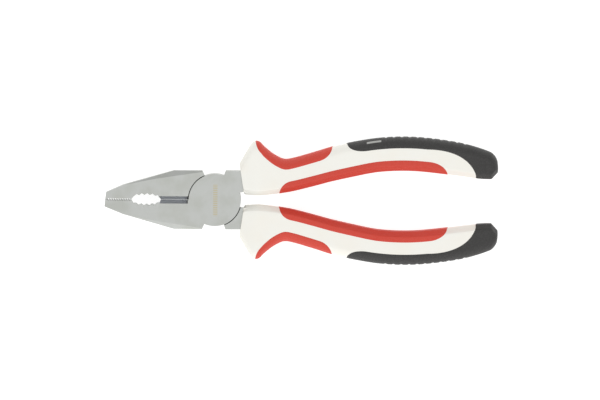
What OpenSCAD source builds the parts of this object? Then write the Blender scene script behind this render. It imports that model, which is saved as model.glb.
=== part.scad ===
// Combination pliers: two forged arms turning on a flush rivet, each with a three-part grip.
// +X points to the handles, +Y to the upper grip, +Z to the front face.
// The origin is where the rivet's axis meets the flat back face of the joint.

/* [Head] */
// Length of the jaws from the pivot to the tip
jaw_length = 55.5; // [48:0.5:68]
// Width of the head across its shoulders
head_width = 29.6; // [24.6:0.2:36]
// Thickness of the head at the joint
head_thickness = 11; // [9:0.5:14]
// Thickness of the jaws at the tip
tip_thickness = 8; // [6:0.5:9]
// Height of each jaw at the tip
tip_height = 3.6; // [3:0.1:4.5]
// How far the ground face of the nose leans over the height of one jaw
tip_slant = 0.4; // [0:0.1:0.8]
// Height of each jaw where the steep nose ends
nose_height = 7.4; // [6:0.1:8.5]
// Length of the steep part of the nose
nose_taper = 9.1; // [7:0.1:11]
// Distance from the pivot to the point where the jaw reaches full width
brow_distance = 20.7; // [18:0.1:25]
// Angle from the joint's centre line to the shoulder of each jaw
jaw_shoulder_angle = 23.5; // [22:0.5:26]
// Angle from the joint's centre line to the shoulder of each tang
tang_shoulder_angle = 20.5; // [20:0.5:23]
// Width of the ground bevel on the outer edge at the brow
bevel_width = 2.7; // [1:0.1:3.2]
// Width of the ground bevel at the shoulder
bevel_end_width = 0.6; // [0.4:0.1:1.5]
// Slope of the ground bevel below the flat face
bevel_angle = 38; // [25:1:50]

/* [Bite] */
// Length of the fine-toothed gripping face at the nose
nose_length = 13; // [10:0.5:16]
// Spacing of the fine teeth
nose_tooth_pitch = 1.2; // [0.8:0.1:1.5]
// Depth of the fine teeth
nose_tooth_depth = 0.55; // [0.2:0.05:0.6]
// Length of the pipe grip
pipe_length = 15.1; // [12:0.1:17]
// Height of the pipe grip between the valleys of its teeth
pipe_height = 6.5; // [5:0.1:8]
// Spacing of the pipe grip's teeth
pipe_tooth_pitch = 2.7; // [2:0.1:3.5]
// Depth of the pipe grip's teeth
pipe_tooth_depth = 0.9; // [0.5:0.05:1.1]
// Half width of the cutter's recess at the flat face
cutter_recess = 1.9; // [1.4:0.1:2.5]
// Height of the sharpened bevel on each side of a cutting edge
cutter_bevel = 2.3; // [1.5:0.1:3]
// Gap between the closed jaws
bite_gap = 0.1; // [0.06:0.01:0.2]

/* [Joint] */
// Step from the shoulders down to the edge of the joint's discs
disc_step = 1.6; // [1:0.1:2.5]
// Radial gap round each disc
disc_clearance = 0.45; // [0.2:0.05:0.6]
// Gap between the two discs where they lie on each other
lap_clearance = 0.06; // [0.04:0.01:0.15]
// Radius of the rivet's shank
rivet_radius = 3.5; // [2.8:0.1:4.5]
// Radius of the rivet's flush heads
rivet_head_radius = 5; // [4.8:0.1:6.5]
// Depth of the countersink that each rivet head fills
rivet_head_depth = 1.6; // [1.2:0.1:2.2]
// Radial clearance of the rivet in the arm that turns on it
rivet_running_clearance = 0.04; // [0.02:0.01:0.08]
// Radial clearance of the rivet in the arm that holds it
rivet_held_clearance = 0.01; // [0.005:0.005:0.02]

/* [Tangs] */
// Distance from the centre plane to each tang where it enters its grip
tang_inset = 3.9; // [3.6:0.1:4.5]
// Width of each tang behind the grip's mouth
tang_width = 9; // [7:0.1:11]
// Width of each tang at its end
tang_end_width = 6.4; // [5:0.1:8]
// Thickness of each tang inside its grip
tang_thickness = 8; // [6:0.1:9]
// Distance from the end of each tang to the heel of its grip
tang_end_margin = 19; // [15:0.5:26]
// Gap between a tang and the grip moulded round it
tang_fit = 0.05; // [0.02:0.01:0.1]

/* [Grips] */
// Distance from the pivot to the mouths of the grips
mouth_distance = 12.5; // [12:0.1:14]
// Length of each grip from its mouth to its heel
grip_length = 131.2; // [108:0.2:160]
// Distance across both grips at their widest
handle_span = 65; // [56:0.5:80]
// Gap between the two grips behind the joint
grip_gap = 4.5; // [3.6:0.1:5]
// Width of each grip at the palm
grip_width = 17.2; // [15:0.1:20]
// Thickness of each grip at the palm
grip_thickness = 18; // [16:0.1:21]
// How far the thumb guard stands out from the grip
guard_height = 10.8; // [7:0.1:14]
// Length of the thumb guard from the mouth to its foot
guard_length = 26.4; // [20:0.1:28]
// How far the mouth leans back from its outer to its inner edge
mouth_lean = 2.2; // [0:0.1:3]
// Size of the chamfer on the mouth's inner corner
mouth_chamfer = 0.8; // [0:0.1:1]
// Width of the chamfer along the inner edge, seen from the front
chamfer_width = 2.6; // [1.5:0.1:3.5]
// Height of the chamfer along the inner edge
chamfer_height = 3.6; // [2:0.1:5]
// Radius of the outer edge, seen from the end
edge_radius = 5; // [3:0.1:6]
// Radius of the heel's outer corner
heel_radius = 4.2; // [3:0.1:6]
// Length of the chamfer on the heel's inner corner
heel_chamfer = 3.4; // [2:0.1:5]

/* [Soft zones] */
// Depth to which the soft zones are let into the core
zone_depth = 1.6; // [1:0.1:2]
// Width of the thumb pad along the outer edge
thumb_band = 5; // [4:0.1:6]
// Width of the finger pad along the inner edge
finger_band = 5.3; // [4:0.1:6]
// Width of the heel cover along the outer edge
cover_band = 5.4; // [4:0.1:6]
// Distance from the mouth to the start of the thumb pad
thumb_start = 8; // [7:0.1:9]
// Gap between the thumb pad and the heel cover
zone_gap = 7.2; // [4:0.1:10]
// Distance from the mouth to the start of the finger pad
finger_start = 20.1; // [18:0.1:24]
// Distance from the end of the finger pad to the heel
finger_end_margin = 25.7; // [20:0.1:32]
// Length of the heel cover along the outer edge
cover_length = 76.9; // [60:0.1:85]
// Length of the heel cover along the inner edge
cover_heel_length = 11.4; // [8:0.1:15]
// Length over which the cover sweeps from the outer to the inner edge
cover_sweep = 24.5; // [18:0.1:30]
// Thickness of the cover behind the end of the core
heel_wall = 3.2; // [2.5:0.1:5]

/* [Hidden] */

STEEL = [0.75, 0.76, 0.74];
WHITE_SHELL = [0.95, 0.95, 0.91];
RED_RUBBER = [0.84, 0.31, 0.25];
BLACK_RUBBER = [0.25, 0.25, 0.24];

far = 2 * grip_length;
mid_z = head_thickness / 2;
shoulder_y = head_width / 2;
disc_radius = shoulder_y - disc_step;
tip_x = -jaw_length;
nose_end_x = tip_x + nose_length;
pipe_end_x = nose_end_x + pipe_length;
face_y = bite_gap / 2;
taper_x = -1.45 * brow_distance;  // ahead of it the jaws get thinner towards the tip
heel_x = mouth_distance + grip_length;
tang_end_x = heel_x - tang_end_margin;
shank_x = mouth_distance + mouth_lean + 0.5;
shank_slope_length = 5;
tang_neck_length = 14;            // from the mouth to where the tang reaches its own width
tang_join_length = 20;            // over which the tang's centre line joins the grip's
mouth_lean_length = 18;           // over which the lean of the mouth dies out
heel_chamfer_slope = 1.0;         // rise of the heel's inner chamfer over its length
heel_face_share = 0.7;            // share of the heel's rounding that the front and back faces take
zone_overlap = 0.5;               // how far the border of a soft zone runs past the grip's edge
plain_nose = 1;                   // plain stretch between the tip and the first fine tooth
last_tooth_margin = 0.5;          // plain stretch at the end of the pipe grip
pipe_bluntness = 0.35;            // the lower, the blunter the ends of the pipe grip
recess_overlap = 0.6;             // how far the cutter's recess runs into the pipe grip
recess_run_out = 2;               // how far it runs under the disc on its open side
recess_foot_share = 0.85;         // width of the recess at its foot, as a share of that at its face
guard_run_out = 2;                // gap between the rings of the guard and the first of the palm
heel_run_in = 4;                  // gap between the last ring of the palm and those of the heel
shortest_step = 0.2;              // rings nearer to the grip's end than this are left out
joint_smoothness = 120;

// Shape of the grip's centre line: share of its length, share of its rise to the palm
centre_shape = [[0, 0], [0.08, 0.01], [0.19, 0.14], [0.28, 0.37], [0.36, 0.60], [0.44, 0.78],
                [0.53, 0.94], [0.62, 1], [0.71, 0.97], [0.84, 0.81], [0.93, 0.64], [1, 0.50]];
// Shape of the grip's width: share of its length, share of the palm's width
width_shape = [[0, 0.94], [0.08, 0.99], [0.19, 0.98], [0.28, 1], [0.40, 1.03], [0.53, 1],
               [0.62, 1], [0.84, 0.99], [0.93, 0.90], [1, 0.71]];
// Shape of the grip's thickness: share of its length, share of the palm's thickness
thickness_shape = [[0, 0.80], [0.06, 0.95], [0.19, 0.87], [0.35, 0.94], [0.55, 1], [0.75, 0.99],
                   [0.92, 0.86], [1, 0.80]];
// Shape of the thumb guard: share of its length, share of its height
guard_shape = [[0, 0], [0.157, 0.65], [0.24, 0.93], [0.305, 1], [0.39, 0.93], [0.463, 0.73],
               [0.62, 0.38], [0.77, 0.13], [0.85, 0.035], [0.925, 0], [1, 0]];

// The smooth curve through the points p, worked out at x
function piece_of(p, x) = max([0, for (i = [1 : len(p) - 2]) if (x >= p[i][0]) i]);
function slope_of(p, i) =
    let(a = p[max(i - 1, 0)], b = p[min(i + 1, len(p) - 1)])
    (b[1] - a[1]) / (b[0] - a[0]);
function curve_at(p, x) =
    let(i = piece_of(p, x), run = p[i + 1][0] - p[i][0], t = (x - p[i][0]) / run,
        from = p[i][1], to = p[i + 1][1], from_rise = slope_of(p, i) * run,
        to_rise = slope_of(p, i + 1) * run)
    from + t * from_rise + t * t * (3 * (to - from) - 2 * from_rise - to_rise)
    + t * t * t * (2 * (from - to) + from_rise + to_rise);

function clamp(v) = min(max(v, 0), 1);
function ease(v) = clamp(v) * clamp(v) * (3 - 2 * clamp(v));
// A quarter of an ellipse: 0 at t = 0 with a steep start, 1 from t = 1 on
function quarter(t) = sqrt(1 - pow(1 - clamp(t), 2));
function reversed(list) = [for (i = [len(list) - 1 : -1 : 0]) list[i]];

// Edges of a grip, for the upper one
function along(x) = (x - mouth_distance) / grip_length;
function half_width(x) = curve_at(width_shape, along(x)) * grip_width / 2;
palm_centre_y = handle_span / 2 - grip_width / 2;
mouth_centre_y = grip_gap / 2 + curve_at(width_shape, 0.08) * grip_width / 2;
function centre_y(x) =
    mouth_centre_y + (palm_centre_y - mouth_centre_y) * curve_at(centre_shape, along(x));
function guard(x) = guard_height * curve_at(guard_shape, clamp((x - mouth_distance) / guard_length));
function heel_rounding(x) = 1 - quarter((heel_x - x) / heel_radius);
function outer_edge(x) = centre_y(x) + half_width(x) + guard(x) - heel_radius * heel_rounding(x);
function inner_edge(x) =
    centre_y(x) - half_width(x) + heel_chamfer_slope * max(0, x - heel_x + heel_chamfer)
    + max(0, mouth_distance + mouth_chamfer - x);
function half_thickness(x) =
    curve_at(thickness_shape, along(x)) * grip_thickness / 2
    - heel_face_share * heel_radius * heel_rounding(x);

// Tang inside the upper grip: its centre line leaves the shoulder and joins the grip's own
mouth_tang_y = (shoulder_y + tang_inset) / 2;
function tang_centre_y(x) =
    centre_y(x)
    + (mouth_tang_y - centre_y(mouth_distance)) * (1 - ease((x - mouth_distance) / tang_join_length));
tang_shape = [[mouth_distance, (shoulder_y - tang_inset) / 2],
              [mouth_distance + tang_neck_length, tang_width / 2],
              [tang_end_x - tang_end_width / 2, tang_end_width / 2]];
function tang_half_width(x) = curve_at(tang_shape, x);

// Pipe grip: a blunt lens, whose teeth run between a line of crests and a line of valleys
pipe_middle_x = (nose_end_x + pipe_end_x) / 2;
function lens(x) = pow(max(0, 1 - pow((x - pipe_middle_x) / (pipe_length / 2), 2)), pipe_bluntness);
function pipe_point(x, valley) =
    [x, face_y + (pipe_height / 2 - (valley ? 0 : pipe_tooth_depth)) * lens(x)];
function pipe_teeth(first, starts_in_valley) =
    let(half_pitch = pipe_tooth_pitch / 2,
        count = floor((pipe_length - first - last_tooth_margin) / half_pitch))
    [for (i = [0 : count])
        pipe_point(nose_end_x + first + i * half_pitch, (i % 2 == 1) != starts_in_valley)];
function nose_teeth() =
    let(count = floor((nose_length - plain_nose) / nose_tooth_pitch),
        first = nose_end_x - count * nose_tooth_pitch)
    [for (i = [0 : count - 1], half = [0, 1])
        [first + (i + half / 2) * nose_tooth_pitch, face_y + half * nose_tooth_depth]];

// Plan of the upper jaw, with its wedge running to the centre of the joint.
// slant shifts the outer corner of the tip along the jaw.
module jaw_plan(first_tooth, starts_in_valley, slant) {
    polygon(concat(
        [[tip_x, face_y]],
        nose_teeth(),
        [[nose_end_x, face_y]],
        pipe_teeth(first_tooth, starts_in_valley),
        [[pipe_end_x, face_y],
         [0, face_y],
         [-shoulder_y * tan(jaw_shoulder_angle), shoulder_y],
         [-brow_distance, shoulder_y],
         [tip_x + nose_taper, nose_height],
         [tip_x + slant, tip_height]]));
}

// Plan of the upper tang; grow widens it for the pocket in the grip
module tang_plan(grow) {
    straight_end = tang_end_x - tang_end_width / 2;
    xs = [for (i = [0 : 14]) mouth_distance + (straight_end - mouth_distance) * i / 14];
    polygon(concat(
        [[shoulder_y * tan(tang_shoulder_angle), shoulder_y + grow]],
        [for (x = xs) [x, tang_centre_y(x) + tang_half_width(x) + grow]],
        [for (a = [60 : -30 : -60])
            [straight_end + (tang_end_width / 2 + grow) * cos(a),
             tang_centre_y(straight_end) + (tang_end_width / 2 + grow) * sin(a)]],
        [for (x = reversed(xs)) [x, tang_centre_y(x) - tang_half_width(x) - grow]],
        [[tang_inset * tan(tang_shoulder_angle), tang_inset - grow]]));
}

// Side view of an arm: full thickness at the joint, thinner at the tip and in the grip
module side_profile(grow) {
    top = [[tip_x - 1, tip_thickness / 2],
           [taper_x, head_thickness / 2],
           [shank_x, head_thickness / 2],
           [shank_x + shank_slope_length, tang_thickness / 2],
           [tang_end_x + 2, tang_thickness / 2]];
    translate([0, 0, mid_z])
        rotate([90, 0, 0])
            linear_extrude(height = far, center = true)
                polygon(concat([for (p = top) [p[0], p[1] + grow]],
                               [for (p = reversed(top)) [p[0], -p[1] - grow]]));
}

// A plan carried through more than the head's thickness, for side_profile to trim
module through() {
    translate([0, 0, -1])
        linear_extrude(height = head_thickness + 2)
            children();
}

// Removes what lies outside the line from start to end and above a slope that falls from it
module edge_cut(start, end) {
    run = end - start;
    translate(start)
        rotate([0, -atan2(run[2], norm([run[0], run[1]])), atan2(run[1], run[0])])
            rotate([-bevel_angle, 0, 0])
                translate([-head_width, 0, 0])
                    cube([3 * head_width, head_width, head_width]);
}

module outer_bevels() {
    nose_x = tip_x + nose_taper;
    nose_z = mid_z + tip_thickness / 2 + (head_thickness - tip_thickness) / 2
             * (nose_x - tip_x + 1) / (taper_x - tip_x + 1);
    brow = [-brow_distance, shoulder_y - bevel_width, head_thickness];
    shoulder = [-shoulder_y * tan(jaw_shoulder_angle), shoulder_y - bevel_end_width, head_thickness];
    edge_cut([nose_x, nose_height, nose_z], brow);
    edge_cut(brow, shoulder);
}

// Half of the recess beside the cutting edge: a steep wall, then the sharpened bevel to the edge
module cutter_half(end_x) {
    start_x = pipe_end_x - recess_overlap;
    translate([start_x, 0, mid_z])
        rotate([90, 0, 90])
            linear_extrude(height = end_x - start_x)
                polygon([[-1, mid_z + 1],
                         [cutter_recess, mid_z + 1],
                         [recess_foot_share * cutter_recess, cutter_bevel],
                         [face_y, 0],
                         [-1, 0]]);
}

// The recess ends at a wall beside the arm's own disc, and runs out beside the other arm's disc
module cutter_cut() {
    cutter_half(recess_run_out - disc_radius);
    translate([0, 0, head_thickness])
        mirror([0, 0, 1])
            cutter_half(-disc_radius - disc_clearance);
}

// Rivet and its hole: a shank with a countersunk head at each face
module rivet_solid(grow, past) {
    translate([0, 0, -past])
        cylinder(r = rivet_radius + grow, h = head_thickness + 2 * past, $fn = joint_smoothness);
    for (side = [0, 1])
        translate([0, 0, side * head_thickness])
            mirror([0, 0, side])
                cylinder(r1 = rivet_head_radius + grow, r2 = rivet_radius + grow, h = rivet_head_depth,
                         $fn = joint_smoothness);
}

// One forged arm: upper jaw, lower tang, and the disc in the back half of the joint
module arm(rivet_clearance, first_tooth, starts_in_valley, slant) {
    lap_z = mid_z - lap_clearance / 2;
    color(STEEL)
        difference() {
            intersection() {
                union() {
                    through()
                        jaw_plan(first_tooth, starts_in_valley, slant);
                    mirror([0, 1, 0])
                        through()
                            tang_plan(0);
                    translate([0, 0, -1])
                        cylinder(r = disc_radius, h = lap_z + 1, $fn = joint_smoothness);
                }
                side_profile(0);
            }
            translate([0, 0, lap_z])
                cylinder(r = disc_radius + disc_clearance, h = head_thickness, $fn = joint_smoothness);
            rivet_solid(rivet_clearance, 1);
            cutter_cut();
            outer_bevels();
            translate([0, 0, head_thickness])
                mirror([0, 0, 1])
                    outer_bevels();
        }
}

module rear_arm() {
    arm(rivet_running_clearance, 1.5, false, tip_slant);
}

module front_arm() {
    translate([0, 0, head_thickness])
        rotate([180, 0, 0])
            arm(rivet_held_clearance, 1.1, true, -tip_slant);
}

module pivot_rivet() {
    color(STEEL)
        rivet_solid(0, 0);
}

// Ring of points round the upper grip at x, drawn in by inset. Where the grip is slim,
// its rounding and its chamfer are limited to a share of its width and thickness.
function ring(x, inset) =
    let(outer = outer_edge(x) - inset, inner = inner_edge(x) + inset, half = half_thickness(x) - inset,
        radius_y = min(edge_radius, 0.45 * (outer - inner)), radius_z = min(1.2 * edge_radius, 0.9 * half),
        cut_y = min(chamfer_width, 0.3 * (outer - inner)), cut_z = min(chamfer_height, 0.5 * half),
        lean = mouth_lean * (1 - ease((x - mouth_distance) / mouth_lean_length)),
        top = concat([[inner, half - cut_z], [inner + cut_y, half]],
                     [for (a = [90 : -22.5 : 0])
                         [outer - radius_y * (1 - cos(a)), half - radius_z * (1 - sin(a))]]))
    [for (p = concat(top, [for (q = reversed(top)) [q[0], -q[1]]]))
        [x + lean * (outer - p[0]) / (outer - inner), p[0], mid_z + p[1]]];

// Solid of the upper grip, drawn in by inset, from its mouth to last_x
module grip_solid(inset, last_x) {
    palm_start = mouth_distance + guard_length + guard_run_out;
    palm_end = heel_x - heel_radius - heel_run_in;
    stations = concat(
        [for (i = [0 : 11]) mouth_distance + guard_length * i / 12],
        [for (i = [0 : 13]) palm_start + (palm_end - palm_start) * i / 13],
        [for (a = [0 : 22.5 : 90]) heel_x - heel_radius * (1 - sin(a))]);
    kept = concat([for (x = stations) if (x < last_x - shortest_step) x], [last_x]);
    for (i = [0 : len(kept) - 2])
        hull()
            polyhedron(points = concat(ring(kept[i], inset), ring(kept[i + 1], inset)),
                       faces = [[for (j = [0 : 13]) j], [for (j = [27 : -1 : 14]) j]]);
}

// Where the three soft zones start and end along the grip
thumb_start_x = mouth_distance + thumb_start;
cover_start_x = heel_x - cover_length;
thumb_end_x = cover_start_x - zone_gap;
finger_start_x = mouth_distance + finger_start;
finger_end_x = heel_x - finger_end_margin;
cover_inner_x = heel_x - cover_heel_length;

// Positions along a zone, closer together where its border turns
function zone_stations(start, end, run_in, run_out) = concat(
    [for (a = [0 : 18 : 72]) start + run_in * (1 - cos(a))],
    [for (i = [0 : 6]) start + run_in + (end - run_out - start - run_in) * i / 6],
    [for (a = [72 : -18 : 0]) end - run_out * (1 - cos(a))]);

module zone_prism(border, open_side) {
    translate([0, 0, mid_z - grip_thickness])
        linear_extrude(height = 2 * grip_thickness)
            polygon(concat(border, [[border[len(border) - 1][0], open_side], [border[0][0], open_side]]));
}

module thumb_zone() {
    run_in = 3;
    run_out = 6;
    xs = zone_stations(thumb_start_x, thumb_end_x, run_in, run_out);
    zone_prism([for (x = xs)
        [x, outer_edge(x) + zone_overlap
            - (thumb_band + zone_overlap) * quarter((x - thumb_start_x) / run_in)
              * quarter((thumb_end_x - x) / run_out)]], handle_span);
}

module finger_zone() {
    run_in = 6;
    run_out = 9;
    xs = zone_stations(finger_start_x, finger_end_x, run_in, run_out);
    zone_prism([for (x = xs)
        [x, inner_edge(x) - zone_overlap
            + (finger_band + zone_overlap) * quarter((x - finger_start_x) / run_in)
              * quarter((finger_end_x - x) / run_out)]], -handle_span);
}

module cover_zone() {
    run_in = 11;
    sweep_x = cover_inner_x - cover_sweep;
    band_x = cover_start_x + run_in;
    band_xs = concat([for (a = [0 : 18 : 72]) cover_start_x + run_in * (1 - cos(a))],
                     [for (i = [0 : 4]) band_x + (sweep_x - band_x) * i / 5]);
    band = [for (x = band_xs)
        [x, outer_edge(x) + zone_overlap
            - (cover_band + zone_overlap) * quarter((x - cover_start_x) / run_in)]];
    top = outer_edge(sweep_x) - cover_band;
    sweep = [for (a = [0 : 10 : 90])
        let(x = sweep_x + cover_sweep * sin(a), low = inner_edge(x) - zone_overlap)
        [x, low + (top - low) * cos(a)]];
    zone_prism(concat(band, sweep, [[cover_inner_x, -handle_span], [far, -handle_span], [far, handle_span]]),
               handle_span);
}

// A soft zone: the skin of the grip inside the zone's border
module soft_zone() {
    difference() {
        intersection() {
            grip_solid(0, heel_x);
            children();
        }
        grip_solid(zone_depth, heel_x - heel_wall);
    }
}

module grip_core() {
    color(WHITE_SHELL)
        difference() {
            union() {
                difference() {
                    grip_solid(0, heel_x);
                    thumb_zone();
                    finger_zone();
                    cover_zone();
                }
                grip_solid(zone_depth, heel_x - heel_wall);
            }
            intersection() {
                through()
                    tang_plan(tang_fit);
                side_profile(tang_fit);
            }
        }
}

module thumb_pad() {
    color(RED_RUBBER)
        soft_zone()
            thumb_zone();
}

module finger_pad() {
    color(RED_RUBBER)
        soft_zone()
            finger_zone();
}

module heel_cover() {
    color(BLACK_RUBBER)
        soft_zone()
            cover_zone();
}

module lower() {
    mirror([0, 1, 0])
        children();
}

front_arm();
rear_arm();
pivot_rivet();
grip_core();  // upper_grip_core
thumb_pad();  // upper_thumb_pad
finger_pad();  // upper_finger_pad
heel_cover();  // upper_heel_cover
lower() grip_core();  // lower_grip_core
lower() thumb_pad();  // lower_thumb_pad
lower() finger_pad();  // lower_finger_pad
lower() heel_cover();  // lower_heel_cover
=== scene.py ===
"""Combination pliers: the finished looks of two forged arms and their three-part grips.

Laid out as an add-on and run as a script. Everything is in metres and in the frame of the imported
model: +X points to the handles, +Y to the upper grip and +Z to the front face. The upper grip is
worked out from the sizes in the panel, and the lower grip is its mirror image.
"""

import math
from types import SimpleNamespace

import bmesh
import bpy
import numpy as np
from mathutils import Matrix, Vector


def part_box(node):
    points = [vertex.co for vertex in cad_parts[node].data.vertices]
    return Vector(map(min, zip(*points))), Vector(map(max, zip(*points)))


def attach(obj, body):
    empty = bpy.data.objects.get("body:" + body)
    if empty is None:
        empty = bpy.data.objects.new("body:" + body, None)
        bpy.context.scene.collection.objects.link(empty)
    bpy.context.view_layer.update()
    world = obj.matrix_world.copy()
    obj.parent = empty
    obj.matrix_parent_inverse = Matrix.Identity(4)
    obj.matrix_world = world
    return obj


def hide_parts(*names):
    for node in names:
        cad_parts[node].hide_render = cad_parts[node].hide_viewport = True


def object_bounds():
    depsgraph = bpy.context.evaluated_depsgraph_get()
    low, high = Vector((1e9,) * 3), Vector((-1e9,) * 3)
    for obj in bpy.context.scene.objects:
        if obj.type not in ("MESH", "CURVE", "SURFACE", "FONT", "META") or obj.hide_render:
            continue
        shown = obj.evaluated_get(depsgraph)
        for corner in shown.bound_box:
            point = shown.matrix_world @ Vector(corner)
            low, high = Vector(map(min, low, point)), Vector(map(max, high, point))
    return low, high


bl_info = {
    "name": "Combination pliers",
    "version": (1, 0, 0),
    "blender": (4, 5, 0),
    "location": "3D View > Sidebar > Pliers",
    "description": "Builds the grips, finishes the forged arms and lights the pliers",
    "category": "Object",
}

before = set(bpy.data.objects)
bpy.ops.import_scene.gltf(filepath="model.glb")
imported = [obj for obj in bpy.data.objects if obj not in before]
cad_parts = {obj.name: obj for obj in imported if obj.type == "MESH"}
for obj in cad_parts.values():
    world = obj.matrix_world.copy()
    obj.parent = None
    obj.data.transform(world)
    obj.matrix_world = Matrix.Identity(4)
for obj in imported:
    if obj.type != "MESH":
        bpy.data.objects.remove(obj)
CAD_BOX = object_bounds()
FRONT_FACE_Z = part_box("front_arm")[1].z
MID_Z = FRONT_FACE_Z / 2
MOUTH_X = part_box("upper_grip_core")[0].x
HEEL_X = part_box("upper_heel_cover")[1].x

MM = 0.001
DISC_RADIUS = 13.2 * MM
MERGE_DISTANCE = 0.002 * MM
SHARP_ANGLE = math.radians(50)
ROUND_OFF = 1e-6 * MM

# Spacing of the rows of points along the grip
THUMB_STEP = 0.7 * MM
FINGER_STEP = 1.0 * MM
COVER_STEP = 0.25 * MM
GUARD_STEP = 0.5 * MM
SHELL_STEP = 0.9 * MM
# Steps of the cover's rows over its front end, its sweep and the stretch behind that
COVER_END_STEPS, COVER_SWEEP_STEPS, COVER_BACK_STEPS = 20, 110, 10
# Points across each soft zone, besides those on its rims, and points over the mouth's rim
PAD_COLUMNS = 60
COVER_COLUMNS = 92
MOUTH_RIM_POINTS = 5
# Sizes of the rings that close the heel's face, as shares of the ring round the heel
HEEL_SHARES = (0.92, 0.8, 0.6, 0.35, 0)
# Share of the heel's crown by which the middle of its face stands above the face's rim
CROWN_RISE = 0.8
# Distances from the heel at which the cover's underside and the shell end, in thicknesses of the
# soft zones
UNDERSIDE_MARGIN = 2
SHELL_MARGIN = 2.2
# Share of the rounded edge over which the ribs fade out
RIB_REACH = 0.62

# Sockets of the Mix node when it blends colours
MIX_SHARE, MIX_UNDER, MIX_OVER, MIX_RESULT = 0, 6, 7, 2
SIDES = (("upper", "front_half", 1), ("lower", "rear_half", -1))

# Share of the grip's length, and share of the centre line's rise from the mouth to the palm
CENTRE_SHAPE = ((0, 0), (0.08, 0.01), (0.19, 0.14), (0.28, 0.37), (0.36, 0.60), (0.44, 0.78),
                (0.53, 0.94), (0.62, 1), (0.71, 0.97), (0.84, 0.81), (0.93, 0.64), (1, 0.50))
# Share of the grip's length, and share of the palm's width
WIDTH_SHAPE = ((0, 0.94), (0.08, 0.99), (0.19, 0.98), (0.28, 1), (0.40, 1.03), (0.53, 1),
               (0.62, 1), (0.84, 0.99), (0.93, 0.90), (1, 0.71))
# Share of the grip's length, and share of the palm's thickness
THICKNESS_SHAPE = ((0, 0.80), (0.06, 0.95), (0.19, 0.87), (0.35, 0.94), (0.55, 1), (0.75, 0.99),
                   (0.92, 0.86), (1, 0.80))
# Share of the guard's length, and share of its height
GUARD_SHAPE = ((0, 0), (0.157, 0.65), (0.24, 0.93), (0.305, 1), (0.39, 0.93), (0.463, 0.73),
               (0.62, 0.38), (0.77, 0.13), (0.85, 0.035), (0.925, 0), (1, 0))


def linear(colour):
    """Linear red, green, blue and alpha of an opaque sRGB colour written as a hex number."""
    channels = [(colour >> shift & 255) / 255 for shift in (16, 8, 0)]
    return (*(c / 12.92 if c <= 0.04045 else ((c + 0.055) / 1.055) ** 2.4 for c in channels), 1.0)


def length(name, description, millimetres):
    """A length property of the panel."""
    return bpy.props.FloatProperty(
        name=name, description=description, default=millimetres * MM, min=0.0,
        subtype="DISTANCE", unit="LENGTH", precision=4)


def colour(name, description, value):
    """A colour property of the panel."""
    return bpy.props.FloatVectorProperty(
        name=name, description=description, default=linear(value), size=4, min=0.0, max=1.0,
        subtype="COLOR")


class GripSizes(bpy.types.PropertyGroup):
    """Outside sizes of one grip."""

    span: length("Span", "Distance across both grips at their widest", 65)
    gap: length("Gap", "Gap between the two grips behind the joint", 4.5)
    width: length("Width", "Width of each grip at the palm", 17.2)
    thickness: length("Thickness", "Thickness of each grip at the palm", 18)
    guard_height: length("Guard height", "How far the thumb guard stands out", 10.8)
    guard_length: length("Guard length", "Length of the thumb guard along the grip", 26.4)
    mouth_lean: length("Mouth lean", "How far the mouth leans back to its inner edge", 2.2)
    mouth_chamfer: length("Mouth chamfer", "Chamfer on the mouth's inner corner", 0.8)
    mouth_rim: length("Mouth rim", "Radius of the rim round the mouth", 0.3)
    chamfer_width: length("Chamfer width", "Width of the chamfer on the inner edge", 2.6)
    chamfer_height: length("Chamfer height", "Height of the chamfer on the inner edge", 3.6)
    edge_radius: length("Edge radius", "Radius of the outer edge", 5)
    heel_radius: length("Heel radius", "Radius of the heel's outer corner", 4.2)
    heel_chamfer: length("Heel chamfer", "Length of the heel's inner chamfer", 3.4)
    softening: length("Softening", "How far each edge of the chamfer is rounded", 0.4)
    pocket_inner: length("Pocket inner side", "From the joint to the pocket's inner side", 3.85)
    pocket_outer: length("Pocket outer side", "From the joint to the pocket's outer side", 14.85)
    pocket_depth: length("Pocket depth", "Depth of the tang's pocket behind the mouth", 3)
    pocket_gap: length("Pocket gap", "Gap between the pocket and the tang's two faces", 0.05)


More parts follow.
